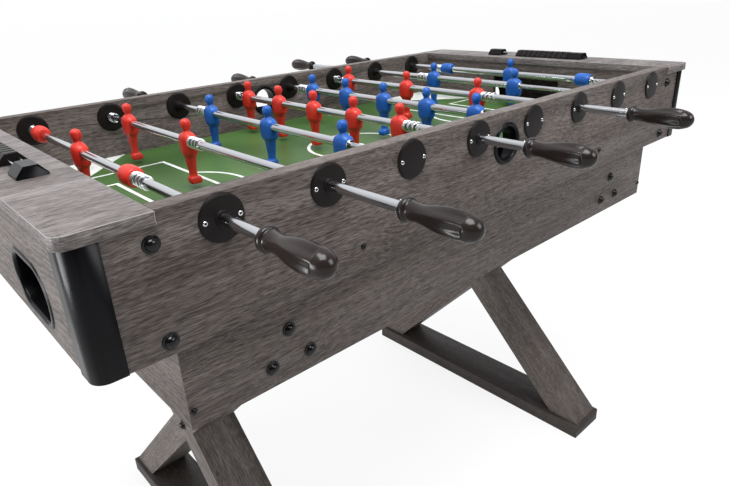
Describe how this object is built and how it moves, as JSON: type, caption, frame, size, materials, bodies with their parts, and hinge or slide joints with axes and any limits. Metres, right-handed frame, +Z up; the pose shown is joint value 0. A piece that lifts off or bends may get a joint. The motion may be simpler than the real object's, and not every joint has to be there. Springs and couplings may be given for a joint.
{
  "type": "foosball table",
  "caption": "Free-standing foosball table with crossed legs, telescopic player rods that spin and slide, goals, ball returns and bead scorers.",
  "frame": {"origin": "middle of the whole footprint, handles included, on the floor", "axes": "+X along the table towards the blue goal, +Y across it towards the blue players' handles, +Z up"},
  "size_m": [1.393, 1.3378, 0.9276],
  "materials": {
    "oak_laminate": "satin grey-brown driftwood laminate",
    "oak_laminate_light": "satin pale grey driftwood laminate",
    "dark_laminate": "matt dark brown board",
    "playfield_green": "satin printed board, green with white lines",
    "black_plastic": "glossy black moulding",
    "handle_plastic": "glossy dark brown-black moulding",
    "steel": "bright drawn steel",
    "red_plastic": "satin red moulding",
    "blue_plastic": "satin blue moulding"
  },
  "bodies": {
    "table": {"side_panel_front": "oak_laminate", "side_panel_back": "oak_laminate", "end_box_left": "oak_laminate", "end_box_right": "oak_laminate", "top_board_left": "oak_laminate_light", "top_board_right": "oak_laminate_light", "playfield": "playfield_green", "corner_trim_front_left": "black_plastic", "corner_trim_front_right": "black_plastic", "corner_trim_back_left": "black_plastic", "corner_trim_back_right": "black_plastic", "apron": "oak_laminate", "leg_frame_left": "oak_laminate", "leg_frame_right": "oak_laminate", "foot_board_left": "dark_laminate", "foot_board_right": "dark_laminate", "scorer_rail_left": "black_plastic", "scorer_rail_right": "black_plastic", "red_goalie_front_bearing": "black_plastic", "red_goalie_back_bearing": "black_plastic", "red_defence_front_bearing": "black_plastic", "red_defence_back_bearing": "black_plastic", "blue_attack_front_bearing": "black_plastic", "blue_attack_back_bearing": "black_plastic", "red_midfield_front_bearing": "black_plastic", "red_midfield_back_bearing": "black_plastic", "blue_midfield_front_bearing": "black_plastic", "blue_midfield_back_bearing": "black_plastic", "red_attack_front_bearing": "black_plastic", "red_attack_back_bearing": "black_plastic", "blue_defence_front_bearing": "black_plastic", "blue_defence_back_bearing": "black_plastic", "blue_goalie_front_bearing": "black_plastic", "blue_goalie_back_bearing": "black_plastic"},
    "red_goalie_inner": {"red_goalie_inner_rod": "steel"},
    "red_goalie_men": {"red_goalie_men_tube": "red_plastic", "red_goalie_handle": "handle_plastic"},
    "red_defence_inner": {"red_defence_inner_rod": "steel"},
    "red_defence_men": {"red_defence_men_tube": "red_plastic", "red_defence_handle": "handle_plastic"},
    "blue_attack_inner": {"blue_attack_inner_rod": "steel"},
    "blue_attack_men": {"blue_attack_men_tube": "blue_plastic", "blue_attack_handle": "handle_plastic"},
    "red_midfield_inner": {"red_midfield_inner_rod": "steel"},
    "red_midfield_men": {"red_midfield_men_tube": "red_plastic", "red_midfield_handle": "handle_plastic"},
    "blue_midfield_inner": {"blue_midfield_inner_rod": "steel"},
    "blue_midfield_men": {"blue_midfield_men_tube": "blue_plastic", "blue_midfield_handle": "handle_plastic"},
    "red_attack_inner": {"red_attack_inner_rod": "steel"},
    "red_attack_men": {"red_attack_men_tube": "red_plastic", "red_attack_handle": "handle_plastic"},
    "blue_defence_inner": {"blue_defence_inner_rod": "steel"},
    "blue_defence_men": {"blue_defence_men_tube": "blue_plastic", "blue_defence_handle": "handle_plastic"},
    "blue_goalie_inner": {"blue_goalie_inner_rod": "steel"},
    "blue_goalie_men": {"blue_goalie_men_tube": "blue_plastic", "blue_goalie_handle": "handle_plastic"},
    "scorer_left": {"scorer_beads_left": "black_plastic"},
    "scorer_right": {"scorer_beads_right": "black_plastic"}
  },
  "joints": [
    {"name": "red_goalie_spin", "type": "hinge", "parent": "table", "child": "red_goalie_inner", "pos_m": [-0.525, -0.065, 0.882], "axis": [0, 1, 0], "continuous": true},
    {"name": "red_goalie_slide", "type": "slide", "parent": "red_goalie_inner", "child": "red_goalie_men", "axis": [0, 1, 0], "range_m": [-0.1489, 0.0006]},
    {"name": "red_defence_spin", "type": "hinge", "parent": "table", "child": "red_defence_inner", "pos_m": [-0.375, -0.065, 0.882], "axis": [0, 1, 0], "continuous": true},
    {"name": "red_defence_slide", "type": "slide", "parent": "red_defence_inner", "child": "red_defence_men", "axis": [0, 1, 0], "range_m": [-0.2834, 0.0461]},
    {"name": "blue_attack_spin", "type": "hinge", "parent": "table", "child": "blue_attack_inner", "pos_m": [-0.225, -0.065, 0.882], "axis": [0, 1, 0], "continuous": true},
    {"name": "blue_attack_slide", "type": "slide", "parent": "blue_attack_inner", "child": "blue_attack_men", "axis": [0, 1, 0], "range_m": [-0.0776, 0.0799]},
    {"name": "red_midfield_spin", "type": "hinge", "parent": "table", "child": "red_midfield_inner", "pos_m": [-0.075, -0.065, 0.882], "axis": [0, 1, 0], "continuous": true},
    {"name": "red_midfield_slide", "type": "slide", "parent": "red_midfield_inner", "child": "red_midfield_men", "axis": [0, 1, 0], "range_m": [-0.0814, 0.0041]},
    {"name": "blue_midfield_spin", "type": "hinge", "parent": "table", "child": "blue_midfield_inner", "pos_m": [0.075, -0.065, 0.882], "axis": [0, 1, 0], "continuous": true},
    {"name": "blue_midfield_slide", "type": "slide", "parent": "blue_midfield_inner", "child": "blue_midfield_men", "axis": [0, 1, 0], "range_m": [-0.0526, 0.0329]},
    {"name": "red_attack_spin", "type": "hinge", "parent": "table", "child": "red_attack_inner", "pos_m": [0.225, -0.065, 0.882], "axis": [0, 1, 0], "continuous": true},
    {"name": "red_attack_slide", "type": "slide", "parent": "red_attack_inner", "child": "red_attack_men", "axis": [0, 1, 0], "range_m": [-0.1459, 0.0116]},
    {"name": "blue_defence_spin", "type": "hinge", "parent": "table", "child": "blue_defence_inner", "pos_m": [0.375, -0.065, 0.882], "axis": [0, 1, 0], "continuous": true},
    {"name": "blue_defence_slide", "type": "slide", "parent": "blue_defence_inner", "child": "blue_defence_men", "axis": [0, 1, 0], "range_m": [-0.1761, 0.1534]},
    {"name": "blue_goalie_spin", "type": "hinge", "parent": "table", "child": "blue_goalie_inner", "pos_m": [0.525, -0.065, 0.882], "axis": [0, 1, 0], "continuous": true},
    {"name": "blue_goalie_slide", "type": "slide", "parent": "blue_goalie_inner", "child": "blue_goalie_men", "axis": [0, 1, 0], "range_m": [-0.0806, 0.0689]},
    {"name": "scorer_left_slide", "type": "slide", "parent": "table", "child": "scorer_left", "axis": [0, 1, 0], "range_m": [-0.0503, 0]},
    {"name": "scorer_right_slide", "type": "slide", "parent": "table", "child": "scorer_right", "axis": [0, 1, 0], "range_m": [0, 0.0503]}
  ]
}
